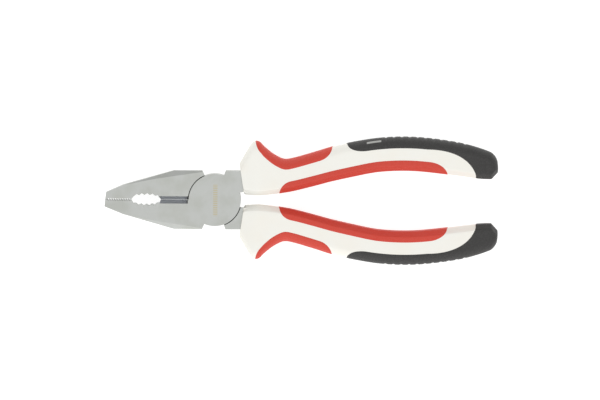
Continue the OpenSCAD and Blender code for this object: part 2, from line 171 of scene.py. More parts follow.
class ZoneSizes(bpy.types.PropertyGroup):
    """Sizes of the soft zones on one grip."""

    level: length("Level", "How far the soft zones lie inside the overall size", 0.05)
    proud: length("Proud", "How far the soft zones stand above the white shell", 0.12)
    rim: length("Rim radius", "Radius of the rounded rim of each soft zone", 0.42)
    depth: length("Depth", "Thickness of the soft zones", 1.4)
    thumb_band: length("Thumb band", "Width of the thumb pad on the front face", 5)
    finger_band: length("Finger band", "Width of the finger pad on the front face", 5.3)
    cover_band: length("Cover band", "Width of the heel cover on the front face", 5.4)
    thumb_start: length("Thumb start", "Distance from the mouth to the thumb pad", 8)
    thumb_run_in: length("Thumb run-in", "Length of the thumb pad's curved front end", 3)
    thumb_run_out: length("Thumb run-out", "Length of the thumb pad's curved back end", 6)
    zone_gap: length("Zone gap", "Gap between the thumb pad and the heel cover", 7.2)
    finger_start: length("Finger start", "Distance from the mouth to the finger pad", 20.1)
    finger_margin: length("Finger margin", "Distance from the finger pad to the heel", 25.7)
    finger_run_in: length("Finger run-in", "Length of the finger pad's curved front end", 6)
    finger_run_out: length("Finger run-out", "Length of the finger pad's curved back end", 9)
    cover_length: length("Cover length", "Length of the heel cover on the outer edge", 76.9)
    cover_heel: length("Cover heel", "Length of the heel cover on the inner edge", 11.4)
    cover_sweep: length("Cover sweep", "Length over which the cover crosses the grip", 24.5)
    cover_run_in: length("Cover run-in", "Length of the cover's curved front end", 11)
    heel_crown: length("Heel crown", "How far inside the overall length the heel's rim is", 0.3)
    rib_pitch: length("Rib pitch", "Spacing of the ribs on the heel cover", 4)
    rib_width: length("Rib width", "Width of each rib's flat top", 2.1)
    rib_flank: length("Rib flank", "Length of each rib's slanted side", 0.7)
    rib_height: length("Rib height", "Height of the ribs", 0.3)
    rib_start: length("Rib start", "Distance from the heel to the first rib", 59)
    rib_end: length("Rib end", "Distance from the heel to the last rib", 15)


class Finishes(bpy.types.PropertyGroup):
    """Colours of the pliers."""

    steel: colour("Steel", "Satin-ground faces of the arms", 0xB5B7B4)
    steel_shade: colour("Steel shade", "Duller patches of the ground faces", 0xAEB0AB)
    # Hardened steel: a real blued tint, lightened as painted light to brighten the shaded cutter
    # recess
    hardened_and_lightened: colour("Hardened steel", "Cutting edges, blued by hardening", 0xCFD1D5)
    # Oil: painted shade, a dark colour laid in the gap round the joint's discs where shade falls
    painted_gap_shade: colour("Oil", "Old oil in the gap round the joint's discs", 0x3F3E3A)
    stripe: colour("Stripe", "Pale gold stripe printed on the joint", 0xB3A578)
    shell: colour("Shell", "Hard white shell of the grips", 0xF1F0E9)
    warm_shell: colour("Warm shell", "Warmer patches of the white shell", 0xF1EEE5)
    pads: colour("Pads", "Red rubber of the thumb and finger pads", 0xCD3926)
    worn_pads: colour("Worn pads", "Paler grain of the red rubber", 0xCF4D40)
    covers: colour("Covers", "Black rubber of the heel covers", 0x2B2A29)
    worn_covers: colour("Worn covers", "Paler grain of the black rubber", 0x3F3E3D)
    ink: colour("Ink", "Silver ink of the mark on the upper cover", 0xA9A9A6)
    floor: colour("Floor", "Pale studio floor", 0xB8B8B6)
    floor_shade: colour("Floor shade", "Slightly duller clouds of the floor", 0xB5B5B3)


class StudioSizes(bpy.types.PropertyGroup):
    """Camera and light settings."""

    distance: bpy.props.FloatProperty(
        name="Camera distance", description="Distance from the camera to the front face",
        default=4.0, min=0.3, subtype="DISTANCE", unit="LENGTH")
    focus_height: length("Focus height", "Height at which the view has its width", 8)
    view_width: length("View width", "Width of the view", 304.2)
    view_centre: length("View centre", "Distance from the joint to the middle of the view", 42.0)
    view_rise: length("View rise", "Distance from the joint up to the middle of the view", 0.15)
    tilt: bpy.props.FloatProperty(
        name="Tilt", description="Lean of the camera towards the upper grip",
        default=math.radians(3), subtype="ANGLE", unit="ROTATION")
    overhead: bpy.props.FloatProperty(
        name="Overhead", description="Brightness of the overhead softbox", default=0.45, min=0)
    side: bpy.props.FloatProperty(
        name="Side", description="Brightness of the softbox on the lower grip's side",
        default=1.05, min=0)
    walls: bpy.props.FloatProperty(
        name="Walls", description="Brightness of the studio's walls", default=0.8, min=0)
    table: bpy.props.FloatProperty(
        name="Light table", description="Brightness of the light table under the floor sheet",
        default=0.8, min=0)
    roll: bpy.props.FloatProperty(
        name="Roll", description="Turn of the camera about its own axis",
        default=math.radians(0.33), subtype="ANGLE", unit="ROTATION")


# ---------------------------------------------------------------------------------------------
# Shape of the grip


def curve(table, share):
    """The smooth curve through a table's points: a cubic between each pair of points, whose slope
    at a point is that of the line between the point's two neighbours."""
    at, value = np.array(table, float).T
    before = np.maximum(np.arange(len(at)) - 1, 0)
    after = np.minimum(np.arange(len(at)) + 1, len(at) - 1)
    slope = (value[after] - value[before]) / (at[after] - at[before])
    i = np.clip(np.searchsorted(at, share, side="right") - 1, 0, len(at) - 2)
    run = at[i + 1] - at[i]
    t = (share - at[i]) / run
    rise = value[i + 1] - value[i]
    start, end = slope[i] * run, slope[i + 1] * run
    square, cube = 3 * rise - 2 * start - end, start + end - 2 * rise
    return value[i] + t * start + t**2 * square + t**3 * cube


def ease(t):
    """0 up to t = 0, 1 from t = 1 on, with level ends."""
    t = np.clip(t, 0, 1)
    return t * t * (3 - 2 * t)


def quarter(t):
    """A quarter of an ellipse: 0 at t = 0 with a steep start, 1 from t = 1 on."""
    return np.sqrt(1 - (1 - np.clip(t, 0, 1)) ** 2)


def spread(knots, counts):
    """Rows of positions that pass through the knots, with counts[k] equal steps after knot k."""
    knots = [np.asarray(knot, float) for knot in knots]
    parts = [a + (b - a) * np.arange(n) / n for a, b, n in zip(knots, knots[1:], counts)]
    return np.concatenate(parts + [knots[-1] + np.zeros(1)], axis=-1)


class Grip:
    """The skin of the upper grip. A point on it has a distance x along the pliers, and a distance
    round the section at x: from the middle of the outer side, positive over the front face."""

    RING_STEPS = (4, 12, 7, 4, 3, 4, 5)
    SOFT_SAMPLES = (-1, -0.6, -0.2, 0.2, 0.6, 1)
    LEAN_LENGTH = 18 * MM
    HEEL_CHAMFER_SLOPE = 1.0
    HEEL_FACE_SHARE = 0.7
    # Where the gap between the grips is measured, as a share of the grip's length
    GAP_AT = 0.08
    # Height of the rounded edge as a share of its width
    EDGE_STRETCH = 1.2
    # Most that the rounded edge and the chamfer may take, as shares of the width and of the half
    # thickness
    EDGE_LIMITS = (0.45, 0.9)
    CHAMFER_LIMITS = (0.3, 0.5)
    # The shell sinks under the cover over a run, by a number of rib heights. Across the grip it
    # sinks fully up to one share of the rounded edge and not at all from another share on. Behind
    # the line where the cover closes it starts to sink after a lag.
    SINK_RUN = 2 * MM
    SINK_LAG = 1 * MM
    SINK_RIBS = 2
    SINK_FULL, SINK_NONE = 0.3, 0.8
    # Distance between the columns of points at the pocket's corners
    POCKET_CORNER = 0.02 * MM

    def __init__(self, sizes):
        self.sizes = sizes
        self.palm_y = (sizes.span - sizes.width) / 2
        self.mouth_y = sizes.gap / 2 + curve(WIDTH_SHAPE, self.GAP_AT) * sizes.width / 2

    def edges(self, x):
        """Outer edge, inner edge and half thickness at x, as three arrays."""
        s = self.sizes
        along = (x - MOUTH_X) / (HEEL_X - MOUTH_X)
        centre = self.mouth_y + (self.palm_y - self.mouth_y) * curve(CENTRE_SHAPE, along)
        half_width = curve(WIDTH_SHAPE, along) * s.width / 2
        guard = s.guard_height * curve(GUARD_SHAPE, np.clip((x - MOUTH_X) / s.guard_length, 0, 1))
        rounding = s.heel_radius * (1 - quarter((HEEL_X - x) / s.heel_radius))
        outer = centre + half_width + guard - rounding
        inner = (centre - half_width
                 + self.HEEL_CHAMFER_SLOPE * np.maximum(0, x - HEEL_X + s.heel_chamfer)
                 + np.maximum(0, MOUTH_X + s.mouth_chamfer - x))
        half = curve(THICKNESS_SHAPE, along) * s.thickness / 2 - self.HEEL_FACE_SHARE * rounding
        return outer, inner, half

    def section(self, x, inset=0.0):
        """The section at x, drawn in by inset: a straight outer side, a quarter ellipse, the flat
        front face, the chamfer and half the inner side, each with its length round the section."""
        s = self.sizes
        outer, inner, half = self.edges(x)
        outer, inner, half = outer - inset, inner + inset, half - inset
        width = outer - inner
        radius_y = np.minimum(s.edge_radius, self.EDGE_LIMITS[0] * width) - inset
        height = self.EDGE_STRETCH * s.edge_radius
        radius_z = np.minimum(height, self.EDGE_LIMITS[1] * half) - inset
        cut_y = np.minimum(s.chamfer_width, self.CHAMFER_LIMITS[0] * width)
        cut_z = np.minimum(s.chamfer_height, self.CHAMFER_LIMITS[1] * half)
        side = half - radius_z
        bend = math.pi / 2 * np.sqrt((radius_y**2 + radius_z**2) / 2)
        flat = width - radius_y - cut_y
        slope = np.hypot(cut_y, cut_z)
        chamfer_from = side + bend + flat
        return SimpleNamespace(
            outer=outer, inner=inner, half=half, radius_y=radius_y, radius_z=radius_z,
            cut_y=cut_y, cut_z=cut_z, side=side, bend=bend, flat=flat, slope=slope,
            chamfer_from=chamfer_from, wall_from=chamfer_from + slope,
            total=chamfer_from + slope + half - cut_z)

    def skin(self, x, distance, inset=0.0, from_inner=False):
        """Points on the section at x: straight and elliptic stretches one after another, averaged
        over a short window so that the chamfer's edges are rounded. With from_inner the distance
        is measured from the middle of the inner side."""
        c = self.section(x, inset)
        y = z = 0.0
        for sample in self.SOFT_SAMPLES:
            d = distance + sample * self.sizes.softening
            t = c.total - np.abs(d) if from_inner else np.abs(d)
            turn = np.clip((t - c.side) / c.bend, 0, 1) * math.pi / 2
            fall = np.clip((t - c.chamfer_from) / c.slope, 0, 1)
            y = y + (c.outer - c.radius_y * (1 - np.cos(turn)) - c.cut_y * fall
                     - np.clip(t - c.side - c.bend, 0, c.flat))
            rise = (np.minimum(t, c.side) + c.radius_z * np.sin(turn) - c.cut_z * fall
                    - np.maximum(t - c.wall_from, 0))
            z = z + np.where(d < 0, -rise, rise)
        y, z = y / len(self.SOFT_SAMPLES), z / len(self.SOFT_SAMPLES)
        x = x + self.lean(x, y, c) + np.zeros_like(y)
        return np.stack([x, y, MID_Z + z], axis=-1)

    def lean(self, x, y, c):
        """How far the mouth's lean moves a point along the pliers."""
        fade = 1 - ease((x - MOUTH_X) / self.LEAN_LENGTH)
        return self.sizes.mouth_lean * fade * (c.outer - y) / (c.outer - c.inner)

    def rings(self, x, inset, zones):
        """Rings of points round the grip at each x, denser on its rounded edges. They are drawn in
        further where the heel cover hides them: on the outer side under its ribs, so as to stay
        below their valleys, and all round behind the line where the cover closes."""
        c = self.section(x, inset)
        soft = self.sizes.softening
        forward = spread([0 * c.total, c.side, c.side + c.bend, c.chamfer_from - soft,
                          c.chamfer_from + soft, c.wall_from - soft, c.wall_from + soft,
                          c.total], self.RING_STEPS)
        distance = np.concatenate([-forward[:, ::-1], forward[:, 1:-1]], axis=1)
        ribbed = ease((x - HEEL_X + zones.rib_start + self.SINK_RUN) / self.SINK_RUN)
        closed = ease((x - HEEL_X + zones.cover_heel - self.SINK_LAG) / self.SINK_RUN)
        round_edge = (np.abs(distance) - c.side) / c.bend
        outer_side = 1 - ease((round_edge - self.SINK_FULL) / (self.SINK_NONE - self.SINK_FULL))
        hidden = np.maximum(ribbed * outer_side, closed)
        return self.skin(x, distance, inset + self.SINK_RIBS * zones.rib_height * hidden)

    def pocket(self, x, low, high, half):
        """Rings of points of a rectangular pocket for the tang, each with as many points as a ring
        round the grip."""
        step = self.POCKET_CORNER
        corner = half + high - low
        forward = spread([0, half, half + step, corner - 3 * step, corner - 2 * step,
                          corner - step, corner, corner + half], self.RING_STEPS)
        t = np.concatenate([-forward[::-1], forward[1:-1]])
        y = high - np.clip(np.abs(t) - half, 0, high - low)
        z = np.sign(t) * (np.minimum(np.abs(t), half) - np.maximum(np.abs(t) - corner, 0))
        c = self.section(np.array([MOUTH_X]), self.sizes.mouth_rim)
        x = x + self.lean(MOUTH_X, y, c)
        return np.stack(np.broadcast_arrays(x, y, MID_Z + z), axis=-1)

    def reach_outer(self, x, border):
        """Distance round the section from the middle of the outer side to the point of the front
        half at y = border."""
        c = self.section(x)
        cosine = np.clip(1 - (c.outer - border) / c.radius_y, 0, 1)
        bent = c.bend * np.arccos(cosine) / (math.pi / 2)
        level = np.clip(c.outer - c.radius_y - border, 0, c.flat)
        fall = c.slope * np.clip((c.inner + c.cut_y - border) / c.cut_y, 0, 1)
        return c.side + bent + level + fall

    def reach_inner(self, x, border):
        """Distance round the section from the middle of the inner side to the point of the front
        half at y = border."""
        c = self.section(x)
        rise = c.slope * np.clip((border - c.inner) / c.cut_y, 0, 1)
        return c.half - c.cut_z + rise + np.maximum(border - c.inner - c.cut_y, 0)


def quarter_steps(start, run, steps, towards_end=False):
    """Positions over a run, closest together at its start, or at its end."""
    share = 1 - np.cos(np.linspace(0, math.pi / 2, steps + 1))
    return start + run * (1 - share[::-1] if towards_end else share)


# ---------------------------------------------------------------------------------------------
# Meshes


def make_piece(name, points, faces, side, body, node, material):
    """An object from points and quads: mirrored if it is on the lower side, its doubles merged and
    its normals pointing out. It rides on the body, and the CAD node in whose place it stands is
    hidden."""
    points = points.reshape(-1, 3) * (1, side, 1)
    mesh = bpy.data.meshes.new(name)
    mesh.from_pydata(points.tolist(), [], faces.reshape(-1, 4).tolist())
    work = bmesh.new()
    work.from_mesh(mesh)
    bmesh.ops.remove_doubles(work, verts=work.verts, dist=MERGE_DISTANCE)
    bmesh.ops.recalc_face_normals(work, faces=work.faces)
    work.to_mesh(mesh)
    work.free()
    mesh.polygons.foreach_set("use_smooth", [True] * len(mesh.polygons))
    mesh.set_sharp_from_angle(angle=SHARP_ANGLE)
    mesh.materials.append(material)
    piece = bpy.data.objects.new(name, mesh)
    bpy.context.scene.collection.objects.link(piece)
    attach(piece, body)
    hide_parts(node)
    return piece


def grid_faces(index):
    """The quads between neighbouring rows and columns of an array of vertex numbers."""
    corners = [index[:-1, :-1], index[1:, :-1], index[1:, 1:], index[:-1, 1:]]
    return np.stack(corners, axis=-1).reshape(-1, 4)


def tube_faces(rows, columns):
    """The quads of a tube whose last column meets its first."""
    index = np.arange(rows * columns).reshape(rows, columns)
    return grid_faces(np.concatenate([index, index[:, :1]], axis=1))


def shell_faces(rows, columns, open_rows):
    """The quads of a thick patch: its top, its underside, and the walls along its borders. Rows
    from open_rows on reach round the whole grip, so they have no side walls."""
    top = np.arange(rows * columns).reshape(rows, columns)
    under = top + rows * columns
    walls = [grid_faces(np.stack([top[:open_rows, k], under[:open_rows, k]])) for k in (0, -1)]
    ends = [grid_faces(np.stack([top[k], under[k]])) for k in (0, -1)]
    return np.concatenate([grid_faces(top), grid_faces(under[:, ::-1])] + walls + ends)


def collapse(rings, shares, crown=0.0):
    """Rings that shrink to the middle of the last ring by each share, rising to a crown."""
    last = rings[-1:]
    middle = last.mean(axis=1, keepdims=True)
    shares = np.array(shares)[:, None, None]
    lift = np.array([crown, 0, 0]) * (1 - shares**2)
    return middle + (last - middle) * shares + lift


class Zone:
    """A soft zone of a grip, as rows at x that reach round the section up to a border."""

    TONGUE = 0.3 * MM
    OVERLAP = 0.5 * MM
    RIM_STEPS = 5
    TONGUE_STEPS = 8
    CURVE_STEPS = 14

    def __init__(self, grip, sizes, columns):
        self.grip = grip
        self.sizes = sizes
        self.columns = columns

    def rows(self, start, end, run_in, run_out, step):
        """Positions of the rows: a rounded tongue at each end, then the curved ends of the border,
        then equal steps."""
        middle = np.arange(start + run_in, end - run_out, step)[1:]
        return np.unique(np.concatenate([
            quarter_steps(start - self.TONGUE, self.TONGUE, self.TONGUE_STEPS),
            quarter_steps(start, run_in, self.CURVE_STEPS),
            middle,
            quarter_steps(end - run_out, run_out, self.CURVE_STEPS, towards_end=True),
            quarter_steps(end, self.TONGUE, self.TONGUE_STEPS, towards_end=True)]))

    def tongue(self, x, start, end):
        """How much of the border's reach is left beyond the zone's ends: an ellipse over each."""
        past = np.maximum(np.maximum(start - x, x - end), 0) / self.TONGUE
        return np.sqrt(np.maximum(1 - past**2, 0))

    def spread_columns(self, reach):
        """Distances round the section, from border to border, closest together at the rim."""
        rim = np.minimum(self.sizes.rim, reach / 3)
        steps = rim * (1 - np.cos(np.linspace(0, math.pi / 2, self.RIM_STEPS + 1)))
        half = self.columns // 2
        inner = (reach - rim) * np.linspace(1, 0, half + 1)[1:]
        one_side = np.concatenate([reach - steps, inner], axis=1)
        return np.concatenate([-one_side, one_side[:, -2::-1]], axis=1)

    def rim_drop(self, away):
        """How far the surface drops at a distance away from the border: a quarter circle."""
        return self.sizes.level + self.sizes.rim * (1 - quarter(away / self.sizes.rim))

    def away(self, x, reach, distance):
        """Distance of each point from the border, from the border's own slope."""
        steepness = np.gradient(reach[:, 0], x[:, 0])[:, None]
        return (reach - np.abs(distance)) / np.hypot(1, steepness)

    def patch(self, x, reach, from_inner):
        """Top and underside of a zone that lies over one side of the grip."""
        x, reach = x[:, None], reach[:, None]
        distance = self.spread_columns(reach)
        top = self.grip.skin(x, distance, self.rim_drop(self.away(x, reach, distance)), from_inner)
        under = self.grip.skin(x, distance, self.sizes.depth, from_inner)
        return np.stack([top, under])


def thumb_patch(grip, sizes):
    """Thumb pad: its border leaves the outer edge at each end along a quarter ellipse."""
    zone = Zone(grip, sizes, PAD_COLUMNS)
    start = MOUTH_X + sizes.thumb_start
    end = HEEL_X - sizes.cover_length - sizes.zone_gap
    run_in, run_out = sizes.thumb_run_in, sizes.thumb_run_out
    x = zone.rows(start, end, run_in, run_out, THUMB_STEP)
    band = sizes.thumb_band + zone.OVERLAP
    depth = band * quarter((x - start) / run_in) * quarter((end - x) / run_out)
    border = grip.edges(x)[0] + zone.OVERLAP - depth
    return zone.patch(x, grip.reach_outer(x, border) * zone.tongue(x, start, end), False)


def finger_patch(grip, sizes):
    """Finger pad: its border leaves the inner edge at each end along a quarter ellipse."""
    zone = Zone(grip, sizes, PAD_COLUMNS)
    start = MOUTH_X + sizes.finger_start
    end = HEEL_X - sizes.finger_margin
    run_in, run_out = sizes.finger_run_in, sizes.finger_run_out
    x = zone.rows(start, end, run_in, run_out, FINGER_STEP)
    band = sizes.finger_band + zone.OVERLAP
    depth = band * quarter((x - start) / run_in) * quarter((end - x) / run_out)
    border = grip.edges(x)[1] - zone.OVERLAP + depth
    return zone.patch(x, grip.reach_inner(x, border) * zone.tongue(x, start, end), True)


def ribs(x, distance, section, sizes):
    """Depth of the valleys between the ribs: flat-topped ribs with slanted sides, which fade out
    round the edges of the outer side and at both ends of the ribbed stretch."""
    first, last = HEEL_X - sizes.rib_start, HEEL_X - sizes.rib_end
    offset = np.abs((x - first + sizes.rib_pitch / 2) % sizes.rib_pitch - sizes.rib_pitch / 2)
    valley = 1 - np.clip((sizes.rib_width / 2 + sizes.rib_flank - offset) / sizes.rib_flank, 0, 1)
    inside = (x > first) & (x < last)
    fade = 1 - ease((np.abs(distance) - section.side) / (RIB_REACH * section.bend))
    return sizes.rib_height * valley * inside * fade


def cover_patch(grip, sizes):
    """Heel cover: a band along the outer edge that sweeps across the front face along a quarter
    ellipse and then closes round the whole heel. Returns its top with its underside, and the
    number of rows along which it has side walls."""
    zone = Zone(grip, sizes, COVER_COLUMNS)
    start = HEEL_X - sizes.cover_length
    closed = HEEL_X - sizes.cover_heel
    sweep = closed - sizes.cover_sweep
    run_in = sizes.cover_run_in
    rounding = grip.sizes.heel_radius
    x = np.unique(np.concatenate([
        quarter_steps(start - zone.TONGUE, zone.TONGUE, zone.TONGUE_STEPS),
        quarter_steps(start, run_in, COVER_END_STEPS),
        np.arange(start + run_in, sweep, COVER_STEP),
        sweep + sizes.cover_sweep * np.sin(np.linspace(0, math.pi / 2, COVER_SWEEP_STEPS)),
        quarter_steps(closed, sizes.rim, zone.RIM_STEPS),
        np.linspace(closed + sizes.rim, HEEL_X - rounding, COVER_BACK_STEPS),
        quarter_steps(HEEL_X - rounding, rounding, zone.CURVE_STEPS, towards_end=True)]))
    outer, inner, _ = grip.edges(x)
    band = outer + zone.OVERLAP - (sizes.cover_band + zone.OVERLAP) * quarter((x - start) / run_in)
    low = inner - zone.OVERLAP
    high = grip.edges(np.array(sweep))[0] - sizes.cover_band
    sine = np.clip((x - sweep) / sizes.cover_sweep, 0, 1)
    border = np.where(x < sweep, band, low + (high - low) * np.sqrt(1 - sine**2))
    reach = grip.reach_outer(x, border) * zone.tongue(x, start, HEEL_X)
    section = grip.section(x)
    open_rows = int(np.sum(x < closed - ROUND_OFF))
    last_open = reach[open_rows - 1]
    reach[open_rows:] = section.total[open_rows:]

    x, reach = x[:, None], reach[:, None]
    distance = zone.spread_columns(reach)
    away = zone.away(x[:open_rows], reach[:open_rows], distance[:open_rows])
    beyond = np.hypot(x[open_rows:] - closed,
                      np.maximum(last_open - np.abs(distance[open_rows:]), 0))
    drop = zone.rim_drop(np.concatenate([away, beyond]))
    drop = drop + ribs(x, distance, grip.section(x), sizes)
    top = grip.skin(x, distance, drop)
    under_x = np.minimum(x, HEEL_X - UNDERSIDE_MARGIN * sizes.depth)
    under = grip.skin(under_x, distance, sizes.depth)

    heel = np.clip((x - HEEL_X + rounding) / rounding, 0, 1)
    top[..., 0] -= sizes.heel_crown * heel
    top = np.concatenate([top, collapse(top, HEEL_SHARES, CROWN_RISE * sizes.heel_crown)])
    under = np.concatenate([under, collapse(under, HEEL_SHARES)])
    return np.stack([top, under]), open_rows + 1


def shell_rings(grip, zones):
    """Hard shell: rings from the bottom of the tang's pocket, out over the rounded rim of the
    mouth and along the grip to under the heel cover."""
    sizes = grip.sizes
    rim = sizes.mouth_rim
    turn = np.linspace(0, math.pi / 2, MOUTH_RIM_POINTS)
    guard_end = MOUTH_X + sizes.guard_length
    end = HEEL_X - SHELL_MARGIN * zones.depth
    x = np.concatenate([
        MOUTH_X + rim * (1 - np.cos(turn)),
        np.arange(MOUTH_X + 2 * rim, guard_end, GUARD_STEP),
        np.arange(guard_end, end, SHELL_STEP),
        [end]])
    inset = np.full(len(x), zones.level + zones.proud)
    inset[:len(turn)] += rim * (1 - np.sin(turn))
    body = grip.rings(x[:, None], inset[:, None], zones)
    depths = np.array([[sizes.pocket_depth], [0.0]])
    pocket = grip.pocket(MOUTH_X + depths, sizes.pocket_inner, sizes.pocket_outer,
                         MID_Z + sizes.pocket_gap)
    return np.concatenate([collapse(pocket[:1], (0,)), pocket, body, collapse(body, (0.5, 0))])


# ---------------------------------------------------------------------------------------------
# Materials

# Sizes of the patches of another tone, and of the clouds on the floor
STEEL_PATCH = 9 * MM
SHELL_PATCH = 14 * MM
RUBBER_PATCH = 11 * MM
FLOOR_CLOUD = 30 * MM
# Distance between the grinding lines, which is coarser than the real grit so that they show, and
# how many times longer than that they are
LINE_PITCH = 0.25 * MM
LINE_STRETCH = 25
SHELL_GRAIN = 0.35 * MM
PAD_GRAIN = 0.45 * MM
COVER_GRAIN = 0.5 * MM
# Depths of the grinding lines and of the moulded grains
LINE_DEPTH = 0.02 * MM
SHELL_GRAIN_DEPTH = 0.02 * MM
RUBBER_GRAIN_DEPTH = 0.03 * MM

# Places of the marks
STRIPE_CENTRE = (0.3 * MM, 0.0, FRONT_FACE_Z)
DASH_PITCH = 1.1 * MM
BAR_CENTRE = (MOUTH_X + 68 * MM, 0.0, MID_Z + 7.1 * MM)
# Bounds of the marks and patches: where each starts to show, and from where it shows fully
CUTTER_LEVEL = (MID_Z - 0.05 * MM, MID_Z - 0.35 * MM)
CUTTER_HALF_WIDTH = (3.4 * MM, 3.1 * MM)
CUTTER_BACK = (-11.0 * MM, -11.6 * MM)
CUTTER_FRONT = (-29.2 * MM, -28.7 * MM)
GAP_HALF_WIDTH = (0.9 * MM, 0.6 * MM)
GAP_LEVEL = (MID_Z - 0.1 * MM, MID_Z - 0.4 * MM)
GAP_SIDES = (11.8 * MM, 11.4 * MM)
DASH = (0.2 * MM, 0.26 * MM)
STRIPE_HALF_WIDTH = (1.2 * MM, 1.0 * MM)
STRIPE_HALF_LENGTH = (8.2 * MM, 8.0 * MM)
STRIPE_LEVEL = (0.06 * MM, 0.03 * MM)
BAR_HALF_LENGTH = (3.8 * MM, 3.5 * MM)
BAR_HALF_HEIGHT = (0.6 * MM, 0.45 * MM)
UPPER_GRIP = (0.0, 1 * MM)
DULL_PATCHES = (0.35, 0.7)
WARM_PATCHES = (0.35, 0.75)
GRAIN_TOPS = (0.55, 0.1)


def add_node(tree, kind, inputs=None, **settings):
    """Adds a node. Its settings are properties. Its inputs are values, or outputs to link, where a
    node stands for its own first output."""
    node = tree.nodes.new(kind)
    for name, value in settings.items():
        setattr(node, name, value)
    for key, value in (inputs or {}).items():
        if isinstance(value, bpy.types.Node):
            value = value.outputs[0]
        if isinstance(value, bpy.types.NodeSocket):
            tree.links.new(value, node.inputs[key])
        else:
            node.inputs[key].default_value = value
    return node


def inside(tree, limits):
    """How far a point lies inside all of the limits, from 0 to 1. Each limit is a value with the
    bound at which the inside starts to fade in and the bound from which it is full."""
    share = 1.0
    for value, empty, full in limits:
        part = add_node(tree, "ShaderNodeMapRange",
                        {"Value": value, "From Min": empty, "From Max": full},
                        interpolation_type="SMOOTHSTEP")
        share = add_node(tree, "ShaderNodeMath", {0: share, 1: part}, operation="MULTIPLY")
    return share


def painted(tree, under, layers):
    """A colour with further colours laid over it. Each layer is a mask, its strength and its
    colour."""
    for mask, strength, over in layers:
        share = add_node(tree, "ShaderNodeMath", {0: mask, 1: strength}, operation="MULTIPLY")
        blend = add_node(tree, "ShaderNodeMix",
                         {MIX_SHARE: share, MIX_UNDER: under, MIX_OVER: over}, data_type="RGBA")
        under = blend.outputs[MIX_RESULT]
    return under


def new_material(name):
    """An empty material's node tree and its object coordinates."""
    material = bpy.data.materials.new(name)
    material.use_nodes = True
    tree = material.node_tree
    tree.nodes.clear()
    return tree, add_node(tree, "ShaderNodeTexCoord").outputs["Object"]


def offset_from(tree, place, centre):
    """Distances from a point along x, y and z, as the outputs of a node."""
    offset = add_node(tree, "ShaderNodeVectorMath", {0: place, 1: centre}, operation="SUBTRACT")
    size = add_node(tree, "ShaderNodeVectorMath", {0: offset}, operation="ABSOLUTE")
    return add_node(tree, "ShaderNodeSeparateXYZ", {0: size}).outputs


def finish_material(tree, inputs):
    """Adds the surface shader and the output."""
    shader = add_node(tree, "ShaderNodeBsdfPrincipled", inputs)
    add_node(tree, "ShaderNodeOutputMaterial", {"Surface": shader})


def ground_steel(name, colours):
    """Chrome-vanadium steel, drop-forged, ground and satin-polished: soft broad reflections, fine
    grinding lines across the head and slightly duller patches. The cutting edges are blued by
    hardening and lightened as painted light against the shade in their recess, painted shade
    darkens the gap round the joint's discs, and a plain dashed stripe is printed on the front of
    the joint."""
    tree, place = new_material(name)
    along = add_node(tree, "ShaderNodeSeparateXYZ", {0: place}).outputs
    from_joint = offset_from(tree, place, (0.0, 0.0, MID_Z))
    patches = add_node(tree, "ShaderNodeTexNoise",
                       {"Vector": place, "Scale": 1 / STEEL_PATCH, "Detail": 3.0})
    stretched = add_node(tree, "ShaderNodeMapping",
                         {"Vector": place, "Scale": (1.0, 1 / LINE_STRETCH, 1.0)})
    lines = add_node(tree, "ShaderNodeTexNoise",
                     {"Vector": stretched, "Scale": 1 / LINE_PITCH, "Detail": 2.0})
    # The cutter's recess, blued by hardening and lightened as painted light against its shade:
    # below the front and back faces, and between the pipe grip and the discs
    cutter = inside(tree, [(from_joint[2], *CUTTER_LEVEL),
                           (from_joint[1], *CUTTER_HALF_WIDTH),
                           (along[0], *CUTTER_BACK),
                           (along[0], *CUTTER_FRONT)])
    # Painted shade in the gap round the discs, except where their rims show between the shoulders
    level = add_node(tree, "ShaderNodeVectorMath", {0: place, 1: (1.0, 1.0, 0.0)},
                     operation="MULTIPLY")
    radius = add_node(tree, "ShaderNodeVectorMath", {0: level}, operation="LENGTH")
    from_rim = add_node(tree, "ShaderNodeMath", {0: radius.outputs["Value"], 1: DISC_RADIUS},
                        operation="SUBTRACT")
    rim_distance = add_node(tree, "ShaderNodeMath", {0: from_rim}, operation="ABSOLUTE")
    gap = inside(tree, [(rim_distance, *GAP_HALF_WIDTH),
                        (from_joint[2], *GAP_LEVEL),
                        (from_joint[1], *GAP_SIDES)])
    dash = add_node(tree, "ShaderNodeMath", {0: along[1], 1: DASH_PITCH / 2},
                    operation="PINGPONG")
    from_stripe = offset_from(tree, place, STRIPE_CENTRE)
    stripe = inside(tree, [(dash, *DASH),
                           (from_stripe[0], *STRIPE_HALF_WIDTH),
                           (from_stripe[1], *STRIPE_HALF_LENGTH),
                           (from_stripe[2], *STRIPE_LEVEL)])
    dull = inside(tree, [(patches, *DULL_PATCHES)])
    # The recess colour holds painted light, and the gap colour is painted shade
    tone = painted(tree, colours.steel, [(dull, 1.0, colours.steel_shade),
                                         (cutter, 0.8, colours.hardened_and_lightened),
                                         (gap, 0.9, colours.painted_gap_shade),
                                         (stripe, 0.6, colours.stripe)])
    roughness = add_node(tree, "ShaderNodeMapRange",
                         {"Value": lines, "To Min": 0.28, "To Max": 0.5})
    bump = add_node(tree, "ShaderNodeBump",
                    {"Height": lines, "Strength": 0.5, "Distance": LINE_DEPTH})
    finish_material(tree, {"Base Color": tone, "Metallic": 1.0, "Roughness": roughness,
                           "Normal": bump})


